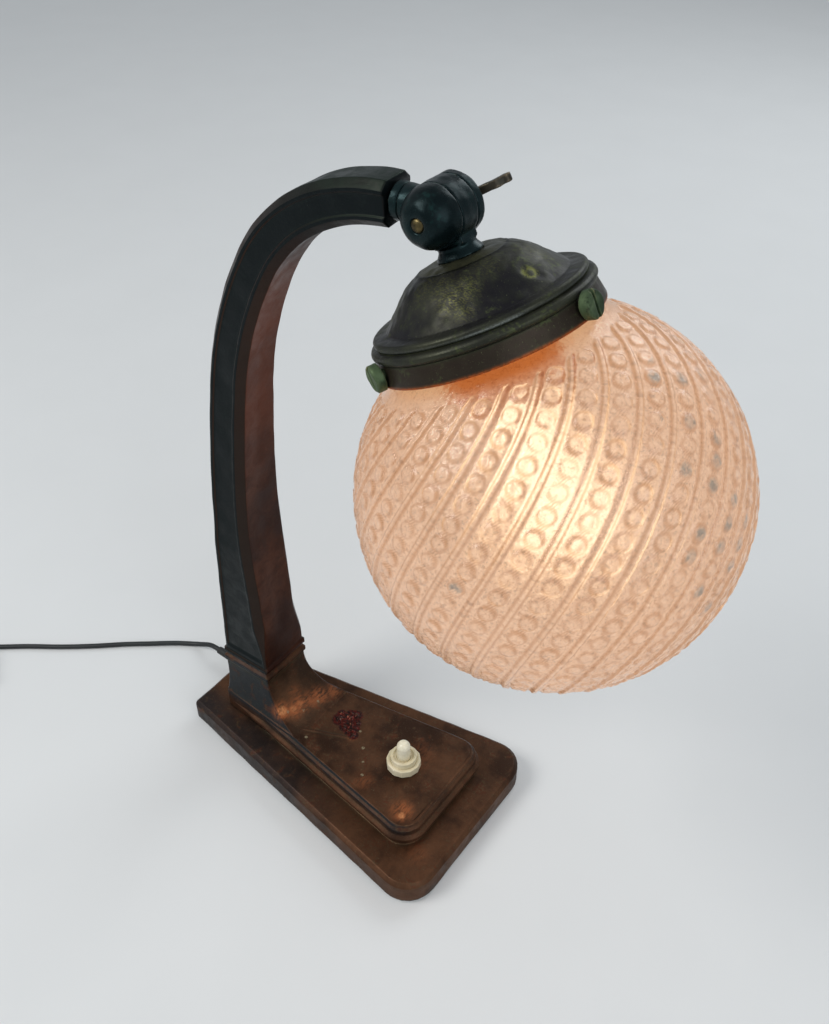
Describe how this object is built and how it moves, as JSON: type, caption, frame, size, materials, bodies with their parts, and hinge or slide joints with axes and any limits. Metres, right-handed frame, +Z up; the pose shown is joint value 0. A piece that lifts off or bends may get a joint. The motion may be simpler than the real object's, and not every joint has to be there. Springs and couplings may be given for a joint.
{
  "type": "desk lamp",
  "caption": "Old bronze desk lamp with a stepped trapezoid base, an arched tapering arm, a tilting knuckle with a wing nut, a round pressed glass globe in a gallery and a push switch.",
  "frame": {"origin": "middle of the base's rest face, on the table", "axes": "+Z up, +X towards the front of the base where the switch and the globe are, +Y to the wing nut's side"},
  "size_m": [0.422, 0.2267, 0.3361],
  "materials": {
    "dark_bronze": "old dark brown bronze, worn to copper on its corners",
    "arm_bronze": "old bronze, reddish brown in front and blue-grey at the sides",
    "knuckle_bronze": "dark blue-green patina",
    "gallery_patina": "olive patina with green bloom",
    "screw_patina": "green patina, worn on the rims",
    "worn_brass": "dull, worn brass",
    "contact_brass": "bright brass",
    "steel": "plain zinc-plated steel",
    "steel_plate": "blackened sheet steel",
    "holder_metal": "pressed brass shell",
    "felt": "green baize",
    "rubber": "matt black rubber",
    "fibre": "pressed fibre",
    "cord": "dark green-brown flexible cord",
    "wire_red": "insulated wire",
    "wire_blue": "insulated wire",
    "ivory": "ivory moulded plastic, slightly dirty in its corners",
    "ivory_button": "polished ivory plastic",
    "globe_glass": "thick pressed glass, ribbed and dotted, warm from the bulb",
    "bulb_glass": "frosted bulb",
    "bulb_cap": "screw cap",
    "filament": "glass stem and glowing filament",
    "porcelain": "white porcelain",
    "tie": "thin black strap",
    "plug_brown": "dark brown moulded plug"
  },
  "bodies": {
    "stand": {"base_casting": "dark_bronze", "base_felt": "felt", "base_cover": "steel_plate", "cover_screws": "steel", "cord_bush": "rubber", "cord_clamp": "fibre", "clamp_screws": "steel", "lead_inside": "cord", "switch_wires": "wire_blue", "switch_body": "ivory", "switch_terminals": "contact_brass", "switch_spring": "steel", "switch_nut": "ivory", "arm_tube": "worn_brass", "arm_nut": "steel", "arm_casting": "arm_bronze", "arm_wires": "wire_red", "arm_nipple": "worn_brass", "knuckle_fork": "knuckle_bronze", "hinge_bolt": "contact_brass", "spring_washer": "steel", "cord_lead": "cord", "cord_coil": "cord", "cord_tail": "cord", "cord_tie": "tie", "plug_body": "plug_brown", "plug_pins": "contact_brass", "plug_screw": "steel"},
    "wing_nut": {"wing_nut": "worn_brass"},
    "button": {"switch_button": "ivory_button"},
    "screw_front": {"gallery_screw_front": "screw_patina"},
    "screw_left": {"gallery_screw_left": "screw_patina"},
    "screw_right": {"gallery_screw_right": "screw_patina"},
    "bulb": {"bulb_glass": "bulb_glass", "bulb_cap": "bulb_cap", "bulb_filament": "filament"},
    "head": {"knuckle_head": "knuckle_bronze", "gallery": "gallery_patina", "gallery_nut": "steel", "globe": "globe_glass", "holder_cap": "holder_metal", "holder_shell": "holder_metal", "holder_insulator": "porcelain", "holder_thread": "contact_brass", "holder_contact": "contact_brass", "holder_wires": "wire_red"}
  },
  "joints": [
    {"name": "head_tilt", "type": "hinge", "parent": "stand", "child": "head", "pos_m": [0.05827, 0, 0.32564], "axis": [0, -1, 0], "range_deg": [-35, 40]},
    {"name": "wing_nut_turn", "type": "hinge", "parent": "stand", "child": "wing_nut", "pos_m": [0.05827, 0.013, 0.32564], "axis": [0, -1, 0], "range_deg": [0, 720]},
    {"name": "switch_press", "type": "slide", "parent": "stand", "child": "button", "axis": [0, 0, -1], "range_m": [0, 0.0025], "stiffness_N_per_m": 600, "deforming": ["switch_spring"]},
    {"name": "bulb_turn", "type": "hinge", "parent": "head", "child": "bulb", "pos_m": [0.05827, 0, 0.32564], "axis": [-0.4617, 0, 0.887], "range_deg": [0, 1080]},
    {"name": "screw_front_turn", "type": "hinge", "parent": "head", "child": "screw_front", "pos_m": [0.11012, 0, 0.30832], "axis": [0.887, 0, 0.4617], "range_deg": [0, 720]},
    {"name": "screw_left_turn", "type": "hinge", "parent": "head", "child": "screw_left", "pos_m": [0.05956, -0.03291, 0.282], "axis": [-0.4435, -0.866, -0.2309], "range_deg": [0, 720]},
    {"name": "screw_right_turn", "type": "hinge", "parent": "head", "child": "screw_right", "pos_m": [0.05956, 0.03291, 0.282], "axis": [-0.4435, 0.866, -0.2309], "range_deg": [0, 720]}
  ]
}
